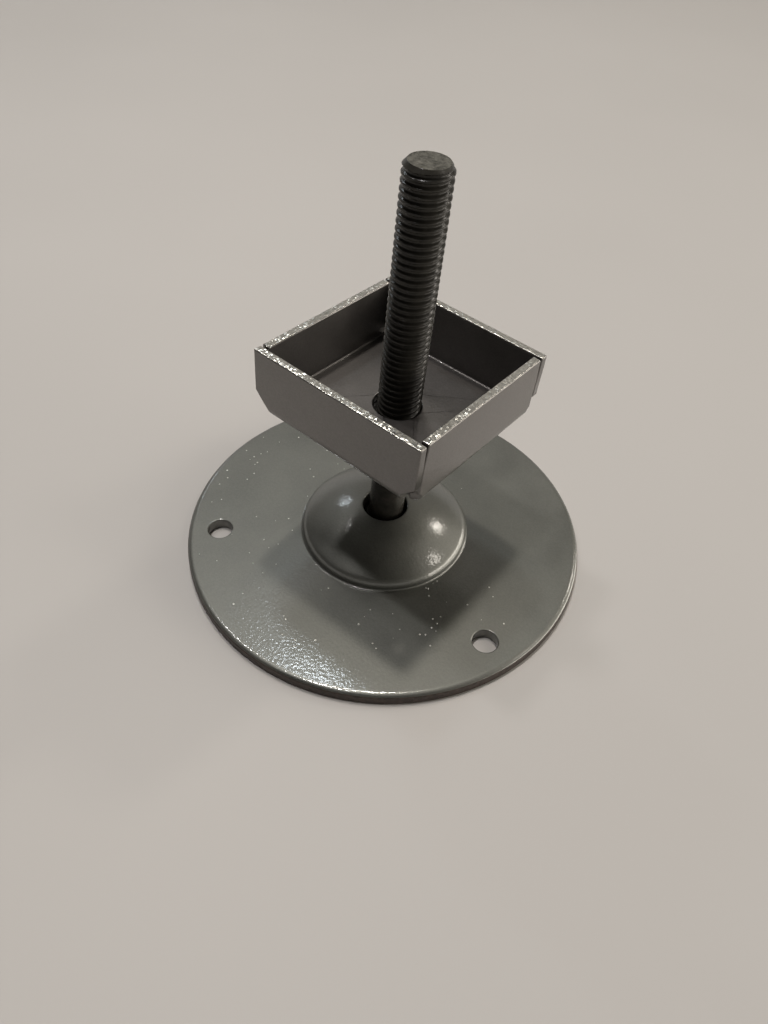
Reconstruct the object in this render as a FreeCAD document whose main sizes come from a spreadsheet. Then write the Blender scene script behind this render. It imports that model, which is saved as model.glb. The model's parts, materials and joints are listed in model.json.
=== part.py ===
"""Leveling foot: pressed round base, ball-ended threaded stud, adjusting nut and folded tube cup.

Frame: millimetres, origin at the centre of the base's underside, +Z up, cup walls along X and Y.
The stud, nut and cup share one leaning axis through the ball's centre.
"""
import FreeCAD, Part
import math
import os

import Sketcher

# Driving sizes, in millimetres and degrees
SIZES = {
    "disc_r": (50.0, "outer radius of the base plate"),
    "sheet_t": (3.0, "thickness of the base plate"),
    "edge_roll_r": (0.9, "rolled upper edge left by blanking"),
    "edge_under_r": (0.3, "broken lower edge"),
    "dome_base_r": (21.2, "outer radius of the dome where it leaves the plate"),
    "dome_rise": (8.1, "height of the dome's hole above the plate"),
    "dome_wall_h": (2.0, "steep part of the dome above the plate"),
    "dome_shoulder_r": (2.8, "rounding between the steep part and the cap"),
    "dome_valley_r": (0.4, "tight inside corner at the foot of the dome"),
    "dome_inside_r": (1.0, "inside rounding under the shoulder"),
    "dome_under_r": (1.8, "bend from the underside into the dome"),
    "dome_lip_r": (0.45, "eased upper edge of the dome's hole"),
    "dome_play": (0.6, "clearance of the dome's hole round the thread"),
    "screw_edge": (8.0, "distance of the fixing holes from the plate's edge"),
    "screw_hole_r": (3.0, "fixing hole for a 5 mm screw"),
    "screw_lip_r": (0.35, "rolled upper edge of the fixing holes"),
    "screw_phase": (103.86, "angle of the first fixing hole"),
    "pivot_z": (4.0, "height of the ball's centre"),
    "ball_play": (0.33, "gap between the ball and the lower edge of the dome's hole"),
    "ball_floor_gap": (1.2, "gap between the ball's flat and the floor"),
    "thread_r": (4.9, "outside of the thread"),
    "neck_step": (0.55, "how far the plain neck lies below the thread"),
    "neck_above": (9.5, "plain neck left above the dome's hole"),
    "neck_blend_r": (0.9, "blend from the ball into the neck"),
    "stud_top_z": (92.5, "top of the stud above the ball's centre"),
    "stud_chamfer": (0.7, "chamfer down to the thread's root at the top"),
    "lean_deg": (2.8, "lean of the stud at rest"),
    "lean_dir": (57.46, "direction of the lean, from +X towards +Y"),
    "tube_side": (40.0, "outside width of the square tube that stands in the cup"),
    "tube_play": (0.1, "clearance on each side of the tube"),
    "cup_z": (36.7, "underside of the cup above the ball's centre"),
    "cup_h": (15.85, "overall height of the cup"),
    "cup_t": (2.0, "sheet thickness of the cup"),
    "cup_bend_r": (1.5, "inside radius of the cup's bends"),
    "cup_play": (0.6, "clearance of the cup's hole round the thread"),
    "cup_relief": (0.8, "how far the wide bends stop short of the floor's corners"),
    "cup_slit": (0.5, "width of the relief slits at the floor's corners"),
    "cup_wing": (0.6, "how far the narrow bends run past the floor's corners"),
    "cup_ear_z": (5.6, "height at which the wide walls' lower corners are cut off"),
    "cup_gap_low": (0.1, "corner gap beside the lower part of a narrow wall"),
    "cup_gap_z": (10.0, "height above which the corner gaps open"),
    "cup_gap_top": (0.6, "corner gap at the rim of a narrow wall"),
    "cup_shift": (0.45, "play taken up between cup and stud at rest"),
    "nut_af": (17.0, "width across flats of the nut"),
    "nut_h": (8.0, "height of the nut"),
    "nut_play": (0.07, "running clearance of the nut's bore round the thread"),
    "nut_lead_in": (0.6, "chamfer at both mouths of the bore"),
    "nut_corner": (0.3, "how far the corner chamfer starts inside the flats"),
}
X_AXIS = -1
Y_AXIS = -2

os.makedirs("parts", exist_ok=True)
doc = FreeCAD.newDocument("leveling_foot")


class Size:
    """A driving size or a sum of them: its number now, and the expression that keeps it bound."""

    def __init__(self, value, text):
        self.value = value
        self.text = text

    def __add__(self, other):
        return Size(self.value + as_size(other).value, "(%s + %s)" % (self.text, as_size(other).text))

    def __sub__(self, other):
        return Size(self.value - as_size(other).value, "(%s - %s)" % (self.text, as_size(other).text))

    def __mul__(self, other):
        return Size(self.value*as_size(other).value, "(%s * %s)" % (self.text, as_size(other).text))

    def __truediv__(self, other):
        return Size(self.value/as_size(other).value, "(%s / %s)" % (self.text, as_size(other).text))

    def __neg__(self):
        return Size(-self.value, "(-1 * %s)" % self.text)


def as_size(number):
    """Return a plain number as a Size, and a Size as it is."""
    return number if isinstance(number, Size) else Size(float(number), repr(float(number)))


def square(size):
    """Return a size times itself."""
    return size*size


def root(size):
    """Return the square root of a size."""
    return Size(math.sqrt(size.value), "sqrt(%s)" % size.text)


def smaller(first, second):
    """Return the smaller of two sizes, so that a rounding stays within its wall."""
    return Size(min(first.value, second.value), "min(%s; %s)" % (first.text, second.text))


def sine(angle):
    """Return the sine of an angle in degrees."""
    return Size(math.sin(math.radians(angle.value)), "sin(%s)" % angle.text)


def cosine(angle):
    """Return the cosine of an angle in degrees."""
    return Size(math.cos(math.radians(angle.value)), "cos(%s)" % angle.text)


class Sizes:
    """The driving sizes by name, and the sizes that follow from them."""

    def __init__(self):
        sheet = doc.addObject("Spreadsheet::Sheet", "Sheet")
        for row, (name, (value, note)) in enumerate(SIZES.items(), start=1):
            sheet.set("A%d" % row, name)
            sheet.set("B%d" % row, repr(value))
            sheet.set("C%d" % row, note)
            sheet.setAlias("B%d" % row, name)
            setattr(self, name, Size(value, "Sheet." + name))
        doc.recompute()
        self.derive()

    def derive(self):
        """Work out what fits to what."""
        self.dome_hole_r = self.thread_r + self.dome_play
        self.dome_top = self.sheet_t + self.dome_rise
        self.dome_wall_top = self.sheet_t + self.dome_wall_h
        rise = self.dome_top - self.dome_wall_top
        squares = square(self.dome_hole_r) + square(self.dome_top)
        squares = squares - square(self.dome_base_r) - square(self.dome_wall_top)
        self.dome_centre = squares/(rise*2)
        self.dome_outer = root(square(self.dome_hole_r) + square(self.dome_top - self.dome_centre))
        self.dome_inner = self.dome_outer - self.sheet_t
        self.dome_inner_wall = self.dome_base_r - self.sheet_t*0.93
        self.lip_low = self.dome_centre + root(square(self.dome_inner) - square(self.dome_hole_r))
        self.ball_r = root(square(self.dome_hole_r) + square(self.lip_low - self.pivot_z)) - self.ball_play
        self.ball_flat = self.pivot_z - self.ball_floor_gap
        self.neck_r = self.thread_r - self.neck_step
        self.thread_z = self.dome_top - self.pivot_z + self.neck_above
        self.screw_pcd_r = self.disc_r - self.screw_edge
        self.cup_half = self.tube_side/2 + self.tube_play + self.cup_t
        self.cup_inside = self.cup_half - self.cup_t
        self.cup_bend_out = self.cup_bend_r + self.cup_t
        self.cup_flat = self.cup_half - self.cup_bend_out
        self.cup_hole_r = self.thread_r + self.cup_play
        self.nut_bore_r = self.thread_r + self.nut_play
        self.nut_z = self.cup_z - self.nut_h


s = Sizes()


def origin_plane(body, role):
    """Return one of a body's own origin planes by its role name."""
    return next(f for f in body.Origin.OriginFeatures if f.Role == role)


def new_body(name):
    """Start a body that carries its node name."""
    body = doc.addObject("PartDesign::Body", name)
    body.Label = name
    return body


class Profile:
    """A sketch on one of its body's origin planes whose sizes all come from the spreadsheet."""

    def __init__(self, body, name, role, offset=None):
        self.sketch = body.newObject("Sketcher::SketchObject", name)
        self.sketch.AttachmentSupport = [(origin_plane(body, role), "")]
        self.sketch.MapMode = "FlatFace"
        if offset:
            self.sketch.setExpression("AttachmentOffset.Base.z", offset.text)

    def line(self, start, end):
        """Add a straight edge between two points."""
        return self.sketch.addGeometry(Part.LineSegment(start, end))

    def arc(self, middle, radius, start, end):
        """Add an arc counter-clockwise from one point to another."""
        circle = Part.Circle(middle, FreeCAD.Vector(0, 0, 1), radius)
        first = math.atan2(start.y - middle.y, start.x - middle.x)
        last = math.atan2(end.y - middle.y, end.x - middle.x)
        return self.sketch.addGeometry(Part.ArcOfCircle(circle, first, last))

    def rule(self, kind, *args):
        """Add a constraint that has no size."""
        self.sketch.addConstraint(Sketcher.Constraint(kind, *args))

    def bind(self, kind, args, size):
        """Add a dimension and bind it to its expression."""
        index = self.sketch.addConstraint(Sketcher.Constraint(kind, *args, size.value))
        self.sketch.setExpression("Constraints[%d]" % index, size.text)

    def place(self, kind, geo, pos, size):
        """Dimension a point from the sketch origin, on whichever side of it the point lies."""
        if abs(size.value) < 1e-9:
            self.rule("PointOnObject", geo, pos, Y_AXIS if kind == "DistanceX" else X_AXIS)
        elif size.value < 0:
            self.bind(kind, (geo, pos, -1, 1), -size)
        else:
            self.bind(kind, (-1, 1, geo, pos), size)

    def circle(self, x, y, radius):
        """Add a circle at a place given by two sizes."""
        middle = FreeCAD.Vector(x.value, y.value, 0)
        geo = self.sketch.addGeometry(Part.Circle(middle, FreeCAD.Vector(0, 0, 1), radius.value))
        self.bind("Radius", (geo,), radius)
        self.place("DistanceX", geo, 3, x)
        self.place("DistanceY", geo, 3, y)

    def polygon(self, corners):
        """Add a closed outline; a square corner with a third entry is rounded by that radius.

        Args:
            corners: (x, y) or (x, y, radius) sizes, in order round the outline.
        """
        count = len(corners)
        corners = [tuple(as_size(c) for c in corner) for corner in corners]
        spots = [FreeCAD.Vector(corner[0].value, corner[1].value, 0) for corner in corners]
        cuts = [corner[2].value if len(corner) == 3 else 0.0 for corner in corners]
        lines = []
        for i in range(count):
            j = (i + 1) % count
            along = (spots[j] - spots[i]).normalize()
            lines.append(self.line(spots[i] + along*cuts[i], spots[j] - along*cuts[j]))
        for i in range(count):
            if cuts[i]:
                self.round_corner(lines[i - 1], lines[i], corners[i][2])
            else:
                self.rule("Coincident", lines[i - 1], 2, lines[i], 1)
        self.fix_levels(corners, spots, lines)

    def round_corner(self, before, after, radius):
        """Join two square edges with a tangent arc."""
        first = self.sketch.Geometry[before]
        second = self.sketch.Geometry[after]
        into = (first.EndPoint - first.StartPoint).normalize()
        away = (second.EndPoint - second.StartPoint).normalize()
        middle = first.EndPoint + away*radius.value
        left_turn = into.cross(away).z > 0
        if left_turn:
            geo = self.arc(middle, radius.value, first.EndPoint, second.StartPoint)
        else:
            geo = self.arc(middle, radius.value, second.StartPoint, first.EndPoint)
        self.rule("Tangent", before, 2, geo, 1 if left_turn else 2)
        self.rule("Tangent", after, 1, geo, 2 if left_turn else 1)
        self.bind("Radius", (geo,), radius)

    def fix_levels(self, corners, spots, lines):
        """Hold square edges level or upright and dimension each level once."""
        count = len(corners)
        known = {"DistanceX": set(), "DistanceY": set()}
        for i in range(count):
            j = (i + 1) % count
            if abs(spots[i].x - spots[j].x) < 1e-9:
                self.rule("Vertical", lines[i])
                self.place("DistanceX", lines[i], 1, corners[i][0])
                known["DistanceX"].update((i, j))
            elif abs(spots[i].y - spots[j].y) < 1e-9:
                self.rule("Horizontal", lines[i])
                self.place("DistanceY", lines[i], 1, corners[i][1])
                known["DistanceY"].update((i, j))
        for column, kind in enumerate(("DistanceX", "DistanceY")):
            for i in range(count):
                if i not in known[kind]:
                    self.place(kind, lines[i], 1, corners[i][column])


def finish(feature, profile=None):
    """Hide a feature's sketch and recompute it."""
    if profile:
        profile.sketch.Visibility = False
    doc.recompute()
    return feature


def pad(body, name, profile, length, symmetric=False):
    """Extrude a sketch by a size."""
    feature = body.newObject("PartDesign::Pad", name)
    feature.Profile = profile.sketch
    feature.setExpression("Length", length.text)
    if symmetric:
        feature.SideType = "Symmetric"
    return finish(feature, profile)


def pocket(body, name, profile):
    """Cut a sketch right through, to both sides of its plane."""
    feature = body.newObject("PartDesign::Pocket", name)
    feature.Profile = profile.sketch
    feature.SideType = "Symmetric"
    feature.Type = "ThroughAll"
    return finish(feature, profile)


def turned(body, name, profile, kind="PartDesign::Revolution"):
    """Turn a sketch once round the body's vertical axis."""
    feature = body.newObject(kind, name)
    feature.Profile = profile.sketch
    feature.ReferenceAxis = (profile.sketch, ["V_Axis"])
    feature.Angle = 360.0
    return finish(feature, profile)


def ring_edges(feature, radius, height):
    """Name the circular edges of a feature at one radius and height."""
    found = []
    for index, edge in enumerate(feature.Shape.Edges, start=1):
        curve = edge.Curve
        if not isinstance(curve, Part.Circle):
            continue
        if abs(curve.Radius - radius.value) < 1e-3 and abs(curve.Center.z - height.value) < 1e-3:
            found.append("Edge%d" % index)
    return found


def ease(body, name, feature, edges, size, kind="PartDesign::Fillet"):
    """Fillet or chamfer chosen edges by a size."""
    made = body.newObject(kind, name)
    made.Base = (feature, edges)
    made.setExpression("Radius" if kind.endswith("Fillet") else "Size", size.text)
    return finish(made)


def on_stud_axis(body, height, shift=None):
    """Place a body on the leaning axis, above the ball's centre, with play taken up along -X."""
    side = height*sine(s.lean_deg)
    x = side*cosine(s.lean_dir)
    z = s.pivot_z + height*cosine(s.lean_deg)
    if shift:
        x = x - shift
        z = z + shift*cosine(s.lean_dir)*sine(s.lean_deg)/cosine(s.lean_deg)
    body.setExpression("Placement.Base.x", x.text)
    body.setExpression("Placement.Base.y", (side*sine(s.lean_dir)).text)
    body.setExpression("Placement.Base.z", z.text)
    body.setExpression("Placement.Rotation.Axis.x", (-sine(s.lean_dir)).text)
    body.setExpression("Placement.Rotation.Axis.y", cosine(s.lean_dir).text)
    body.setExpression("Placement.Rotation.Axis.z", "0")
    body.setExpression("Placement.Rotation.Angle", s.lean_deg.text)


def make_base_plate():
    """Blank and press the round plate with its hollow dome and fixing holes."""
    body = new_body("base_plate")
    profile = Profile(body, "plate_profile", "XZ_Plane")
    middle = FreeCAD.Vector(0, s.dome_centre.value, 0)

    def on_cap(radius, x):
        height = s.dome_centre + root(square(radius) - square(x))
        return FreeCAD.Vector(x.value, height.value, 0)

    lip_low = on_cap(s.dome_inner, s.dome_hole_r)
    lip_top = on_cap(s.dome_outer, s.dome_hole_r)
    shoulder = on_cap(s.dome_outer, s.dome_base_r)
    valley = FreeCAD.Vector(s.dome_base_r.value, s.sheet_t.value, 0)
    rim_top = FreeCAD.Vector(s.disc_r.value, s.sheet_t.value, 0)
    rim_low = FreeCAD.Vector(s.disc_r.value, 0, 0)
    under = FreeCAD.Vector(s.dome_inner_wall.value, 0, 0)
    inside = on_cap(s.dome_inner, s.dome_inner_wall)
    lip = profile.line(lip_low, lip_top)
    cap = profile.arc(middle, s.dome_outer.value, shoulder, lip_top)
    steep = profile.line(shoulder, valley)
    top = profile.line(valley, rim_top)
    rim = profile.line(rim_top, rim_low)
    sole = profile.line(rim_low, under)
    inner_steep = profile.line(under, inside)
    vault = profile.arc(middle, s.dome_inner.value, inside, lip_low)
    chain = ((lip, 2, cap, 2), (cap, 1, steep, 1), (steep, 2, top, 1), (top, 2, rim, 1), (rim, 2, sole, 1),
             (sole, 2, inner_steep, 1), (inner_steep, 2, vault, 1), (vault, 2, lip, 1), (cap, 3, vault, 3))
    for join in chain:
        profile.rule("Coincident", *join)
    for upright in (lip, steep, rim, inner_steep):
        profile.rule("Vertical", upright)
    for level in (top, sole):
        profile.rule("Horizontal", level)
    profile.rule("PointOnObject", cap, 3, Y_AXIS)
    profile.rule("PointOnObject", sole, 1, X_AXIS)
    profile.place("DistanceY", cap, 3, s.dome_centre)
    profile.bind("Radius", (cap,), s.dome_outer)
    profile.bind("Radius", (vault,), s.dome_inner)
    profile.place("DistanceX", lip, 1, s.dome_hole_r)
    profile.place("DistanceX", steep, 2, s.dome_base_r)
    profile.place("DistanceY", top, 1, s.sheet_t)
    profile.place("DistanceX", rim, 1, s.disc_r)
    profile.place("DistanceX", inner_steep, 1, s.dome_inner_wall)
    feature = turned(body, "plate_turned", profile)

    floor = as_size(0)
    inside_z = as_size(inside.y)
    steps = (
        ("dome_shoulder", s.dome_base_r, s.dome_wall_top, smaller(s.dome_shoulder_r, s.dome_wall_h*1.4)),
        ("dome_valley", s.dome_base_r, s.sheet_t, smaller(s.dome_valley_r, s.dome_wall_h*0.2)),
        ("dome_inside", s.dome_inner_wall, inside_z, smaller(s.dome_inside_r, s.sheet_t*0.4)),
        ("dome_under", s.dome_inner_wall, floor, smaller(s.dome_under_r, s.sheet_t*0.7)),
        ("dome_lip", s.dome_hole_r, s.dome_top, smaller(s.dome_lip_r, s.sheet_t*0.4)),
        ("edge_roll", s.disc_r, s.sheet_t, smaller(s.edge_roll_r, s.sheet_t*0.45)),
        ("edge_under", s.disc_r, floor, smaller(s.edge_under_r, s.sheet_t*0.3)),
    )
    for name, radius, height, size in steps:
        feature = ease(body, name, feature, ring_edges(feature, radius, height), size)

    hole = Profile(body, "screw_hole_profile", "XY_Plane")
    hole.circle(s.screw_pcd_r, as_size(0), s.screw_hole_r)
    cut = pocket(body, "screw_hole", hole)
    pattern = body.newObject("PartDesign::PolarPattern", "screw_holes")
    pattern.Originals = [cut]
    pattern.Axis = (hole.sketch, ["N_Axis"])
    pattern.Angle = 360.0
    pattern.Occurrences = 3
    body.Tip = pattern
    doc.recompute()
    lips = ring_edges(pattern, s.screw_hole_r, s.sheet_t)
    body.Tip = ease(body, "screw_lips", pattern, lips, smaller(s.screw_lip_r, s.sheet_t*0.3))
    body.setExpression("Placement.Rotation.Angle", s.screw_phase.text)
    return body


def make_stud():
    """Turn the stud: flattened ball, plain neck, thread cylinder and chamfered top."""
    body = new_body("threaded_stud")
    profile = Profile(body, "stud_profile", "XZ_Plane")
    flat_r = root(square(s.ball_r) - square(s.ball_flat))
    neck_z = root(square(s.ball_r) - square(s.neck_r))
    neck_top = s.thread_z - s.neck_step
    tip_z = s.stud_top_z - s.stud_chamfer
    tip_r = s.thread_r - s.stud_chamfer
    zero = as_size(0)
    spots = [
        (zero, -s.ball_flat), (flat_r, -s.ball_flat), (s.neck_r, neck_z), (s.neck_r, neck_top),
        (s.thread_r, s.thread_z), (s.thread_r, tip_z), (tip_r, s.stud_top_z), (zero, s.stud_top_z),
    ]
    p = [FreeCAD.Vector(x.value, z.value, 0) for x, z in spots]
    flat = profile.line(p[0], p[1])
    ball = profile.arc(FreeCAD.Vector(0, 0, 0), s.ball_r.value, p[1], p[2])
    neck, runout, thread, tip, top = [profile.line(p[i], p[i + 1]) for i in range(2, 7)]
    axis = profile.line(p[7], p[0])
    chain = ((flat, 2, ball, 1), (ball, 2, neck, 1), (neck, 2, runout, 1), (runout, 2, thread, 1),
             (thread, 2, tip, 1), (tip, 2, top, 1), (top, 2, axis, 1), (axis, 2, flat, 1), (ball, 3, -1, 1))
    for join in chain:
        profile.rule("Coincident", *join)
    for level in (flat, top):
        profile.rule("Horizontal", level)
    for upright in (neck, thread, axis):
        profile.rule("Vertical", upright)
    profile.rule("PointOnObject", axis, 1, Y_AXIS)
    profile.bind("Radius", (ball,), s.ball_r)
    profile.place("DistanceY", flat, 2, -s.ball_flat)
    profile.place("DistanceX", neck, 1, s.neck_r)
    profile.place("DistanceY", neck, 2, neck_top)
    profile.place("DistanceX", thread, 1, s.thread_r)
    profile.place("DistanceY", thread, 1, s.thread_z)
    profile.place("DistanceY", thread, 2, tip_z)
    profile.place("DistanceX", tip, 2, tip_r)
    profile.place("DistanceY", top, 1, s.stud_top_z)
    feature = turned(body, "stud_turned", profile)
    ease(body, "neck_blend", feature, ring_edges(feature, s.neck_r, neck_z), s.neck_blend_r)
    on_stud_axis(body, zero)
    return body


def make_nut():
    """Make the hexagon nut that carries the cup: prism, chamfered corners and bore."""
    body = new_body("adjusting_nut")
    hexagon = Profile(body, "nut_hexagon", "XY_Plane")
    reach = s.nut_af/math.sqrt(3.0)
    centre = FreeCAD.Vector(0, 0, 0)
    circle = Part.Circle(centre, FreeCAD.Vector(0, 0, 1), reach.value)
    guide = hexagon.sketch.addGeometry(circle, True)
    hexagon.rule("Coincident", guide, 3, -1, 1)
    hexagon.bind("Radius", (guide,), reach)
    spots = []
    for i in range(6):
        turn = math.radians(60*i)
        spots.append(FreeCAD.Vector(reach.value*math.cos(turn), reach.value*math.sin(turn), 0))
    sides = [hexagon.line(spots[i], spots[(i + 1) % 6]) for i in range(6)]
    for i in range(6):
        hexagon.rule("Coincident", sides[i], 2, sides[(i + 1) % 6], 1)
        hexagon.rule("PointOnObject", sides[i], 1, guide)
    for i in range(1, 6):
        hexagon.rule("Equal", sides[0], sides[i])
    hexagon.rule("PointOnObject", sides[0], 1, X_AXIS)
    pad(body, "nut_blank", hexagon, s.nut_h)

    corners = Profile(body, "nut_corner_profile", "XZ_Plane")
    near = s.nut_af/2 - s.nut_corner
    far = reach + 0.5
    drop = (far - near)*math.tan(math.radians(30.0))
    corners.polygon([(near, 0), (far, 0), (far, drop)])
    corners.polygon([(near, s.nut_h), (far, s.nut_h - drop), (far, s.nut_h)])
    turned(body, "nut_corners", corners, "PartDesign::Groove")

    bore = Profile(body, "nut_bore_profile", "XY_Plane")
    bore.circle(as_size(0), as_size(0), s.nut_bore_r)
    feature = pocket(body, "nut_bore", bore)
    mouths = ring_edges(feature, s.nut_bore_r, as_size(0)) + ring_edges(feature, s.nut_bore_r, s.nut_h)
    ease(body, "nut_mouths", feature, mouths, s.nut_lead_in, "PartDesign::Chamfer")
    on_stud_axis(body, s.nut_z)
    return body


def make_cup():
    """Fold the square cup from one blank: two wide walls with cut corners, two narrow walls, slits."""
    body = new_body("tube_cup")
    half = s.cup_half
    inside = s.cup_inside
    bend_end = s.cup_flat - s.cup_relief
    fold_start = bend_end + s.cup_slit
    tongue = s.cup_flat - s.cup_slit
    wing = s.cup_flat + s.cup_wing

    wide = Profile(body, "wide_wall_profile", "YZ_Plane")
    wide.polygon([
        (-half, s.cup_h),
        (-half, 0, s.cup_bend_out),
        (half, 0, s.cup_bend_out),
        (half, s.cup_h),
        (inside, s.cup_h),
        (inside, s.cup_t, s.cup_bend_r),
        (-inside, s.cup_t, s.cup_bend_r),
        (-inside, s.cup_h),
    ])
    pad(body, "wide_walls", wide, half*2, symmetric=True)

    corner = Profile(body, "corner_cut_profile", "XZ_Plane")
    spare = as_size(1)
    beyond = half + spare
    slope = (s.cup_ear_z - s.cup_t)/(half - bend_end)
    for side in (1, -1):
        corner.polygon([
            (bend_end*side, -spare),
            (beyond*side, -spare),
            (beyond*side, s.cup_ear_z + slope*spare),
            (bend_end*side, s.cup_t),
        ])
    pocket(body, "corner_cuts", corner)

    strip = Profile(body, "floor_tongue_profile", "XY_Plane")
    behind = bend_end - spare
    strip.polygon([(behind, -tongue), (s.cup_flat, -tongue), (s.cup_flat, tongue), (behind, tongue)])
    tongues = pad(body, "floor_tongue", strip, s.cup_t)

    fold = Profile(body, "narrow_bend_profile", "XZ_Plane")
    fold.polygon([
        (fold_start, 0),
        (half, 0, s.cup_bend_out),
        (half, s.cup_h),
        (inside, s.cup_h),
        (inside, s.cup_t, s.cup_bend_r),
        (fold_start, s.cup_t),
    ])
    bends = pad(body, "narrow_bend", fold, wing*2, symmetric=True)

    wall = Profile(body, "narrow_wall_profile", "YZ_Plane", offset=inside)
    low = inside - s.cup_gap_low
    high = inside - s.cup_gap_top
    foot = s.cup_bend_out + (low - wing)
    wall.polygon([
        (-wing, s.cup_bend_out),
        (wing, s.cup_bend_out),
        (low, foot),
        (low, s.cup_gap_z),
        (high, s.cup_h),
        (-high, s.cup_h),
        (-low, s.cup_gap_z),
        (-low, foot),
    ])
    walls = pad(body, "narrow_wall", wall, s.cup_t)

    mirror = body.newObject("PartDesign::Mirrored", "narrow_walls")
    mirror.Originals = [tongues, bends, walls]
    mirror.MirrorPlane = (origin_plane(body, "YZ_Plane"), [""])
    body.Tip = mirror
    doc.recompute()

    hole = Profile(body, "stud_hole_profile", "XY_Plane")
    hole.circle(as_size(0), as_size(0), s.cup_hole_r)
    body.Tip = pocket(body, "stud_hole", hole)
    on_stud_axis(body, s.cup_z, s.cup_shift)
    return body


def export(bodies):
    """Check every feature and write one STEP file per node."""
    doc.recompute()
    for thing in doc.Objects:
        if {"Invalid", "Error"} & set(thing.State):
            raise RuntimeError("%s: %s" % (thing.Name, thing.State))
    for body in bodies:
        shape = body.Shape
        if shape.isNull() or not shape.isValid() or len(shape.Solids) != 1:
            raise RuntimeError("%s is not one valid solid" % body.Label)
    for body in bodies:
        shape = body.Shape
        shape.exportStep("parts/%s.step" % body.Label)
        box = shape.BoundBox
        print("%s volume %.1f box %.2f %.2f %.2f to %.2f %.2f %.2f" % (
            body.Label, shape.Volume, box.XMin, box.YMin, box.ZMin, box.XMax, box.YMax, box.ZMax))


export([make_base_plate(), make_stud(), make_nut(), make_cup()])
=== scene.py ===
"""Looks of a swivelling leveling foot: painted pressings, a black rolled stud and its nut.

Sizes in the classes are millimetres; meshes are metres, in the part's own frame.
"""
import json
import logging
import math
from collections.abc import Callable, Iterator, Mapping, Sequence
from contextlib import contextmanager
from dataclasses import dataclass
from enum import Enum
from typing import Any

import bmesh
import bpy
from bmesh.types import BMesh, BMVert
from bpy.types import Material, Node, NodeOutputs, NodeSocket, NodeTree, Object
from mathutils import Matrix, Vector


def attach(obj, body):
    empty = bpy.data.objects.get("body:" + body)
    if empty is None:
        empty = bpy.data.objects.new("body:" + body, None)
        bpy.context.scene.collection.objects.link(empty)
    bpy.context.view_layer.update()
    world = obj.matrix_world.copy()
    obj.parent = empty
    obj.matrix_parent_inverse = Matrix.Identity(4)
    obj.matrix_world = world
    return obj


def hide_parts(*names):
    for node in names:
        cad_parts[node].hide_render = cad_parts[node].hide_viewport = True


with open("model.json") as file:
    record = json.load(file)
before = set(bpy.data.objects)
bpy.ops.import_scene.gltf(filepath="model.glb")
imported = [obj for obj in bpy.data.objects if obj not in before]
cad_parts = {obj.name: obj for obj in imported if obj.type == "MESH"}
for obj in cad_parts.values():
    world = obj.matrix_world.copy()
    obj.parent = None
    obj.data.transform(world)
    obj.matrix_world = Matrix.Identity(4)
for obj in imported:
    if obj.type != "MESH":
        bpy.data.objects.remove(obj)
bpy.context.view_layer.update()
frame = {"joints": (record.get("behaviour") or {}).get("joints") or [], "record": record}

LOG = logging.getLogger("leveling_foot")
MM = 0.001
WELD_MM = 0.004
Point = tuple[float, float]


class Body(str, Enum):
    """Bodies that move on their own."""

    BASE = "base"
    STUD = "stud"
    NUT = "nut"
    CUP = "cup"


class Slot(str, Enum):
    """Material slots of the record."""

    PLATE = "plate_paint"
    STUD = "stud_steel"
    NUT = "nut_steel"
    CUP = "cup_paint"


class Tone(Enum):
    """Colours of the lamps."""

    NEUTRAL = "#FFFBFB"
    WARM = "#FFF7EC"
    COOL = "#EDF7FF"


def linear(hex_code: str) -> tuple[float, float, float, float]:
    """Turn an sRGB hex colour into linear RGBA.

    Args:
        hex_code: Colour as "#RRGGBB".

    Returns:
        Linear red, green, blue and an alpha of 1.
    """
    parts = [int(hex_code[i:i + 2], 16)/255 for i in (1, 3, 5)]
    lin = [c/12.92 if c <= 0.04045 else ((c + 0.055)/1.055)**2.4 for c in parts]
    return (lin[0], lin[1], lin[2], 1.0)


def named(entries: Sequence[Mapping[str, Any]], name: str) -> Mapping[str, Any]:
    """Return the entry of one of the frame's lists that has a name."""
    return next(entry for entry in entries if entry["name"] == name)


def add_node(tree: NodeTree, kind: str, inputs: Mapping[str | int, Any] | None = None,
             **settings: Any) -> Node:
    """Add a node, set its properties, and fill or link its inputs.

    Args:
        tree: Tree that gets the node.
        kind: Node type.
        inputs: Values, output sockets, or nodes whose first output in use is meant, by input name or index.
        settings: Properties of the node.

    Returns:
        The new node.
    """
    node = tree.nodes.new(kind)
    for name, value in settings.items():
        setattr(node, name, value)
    for key, value in (inputs or {}).items():
        if isinstance(value, Node):
            value = next(socket for socket in value.outputs if socket.enabled)
        if isinstance(value, NodeSocket):
            tree.links.new(value, node.inputs[key])
        else:
            node.inputs[key].default_value = value
    return node


def per_mm(size: float) -> float:
    """Return the texture scale that gives features of a size in millimetres."""
    return 1/(size*MM)


def new_material(name: str) -> tuple[Material, NodeTree, NodeSocket]:
    """Start an empty material that reads object coordinates.

    Args:
        name: Name of the material.

    Returns:
        The material, its node tree and the coordinates' socket.
    """
    material = bpy.data.materials.new(name)
    material.use_nodes = True
    tree = material.node_tree
    tree.nodes.clear()
    return material, tree, add_node(tree, "ShaderNodeTexCoord").outputs["Object"]


def close_material(tree: NodeTree, tone: Node, dark: str, light: str, inputs: Mapping[str, Any]) -> None:
    """End a material in one principled shader.

    Args:
        tree: The material's node tree.
        tone: Node that shifts the colour from dark to light.
        dark: Colour at 0.
        light: Colour at 1.
        inputs: Values or nodes for the shader's other inputs, by name.
    """
    colour = add_node(tree, "ShaderNodeMix", {
        "Factor": tone, "A": linear(dark), "B": linear(light)}, data_type="RGBA")
    shader = add_node(tree, "ShaderNodeBsdfPrincipled", {"Base Color": colour, **inputs})
    add_node(tree, "ShaderNodeOutputMaterial", {"Surface": shader})


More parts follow.
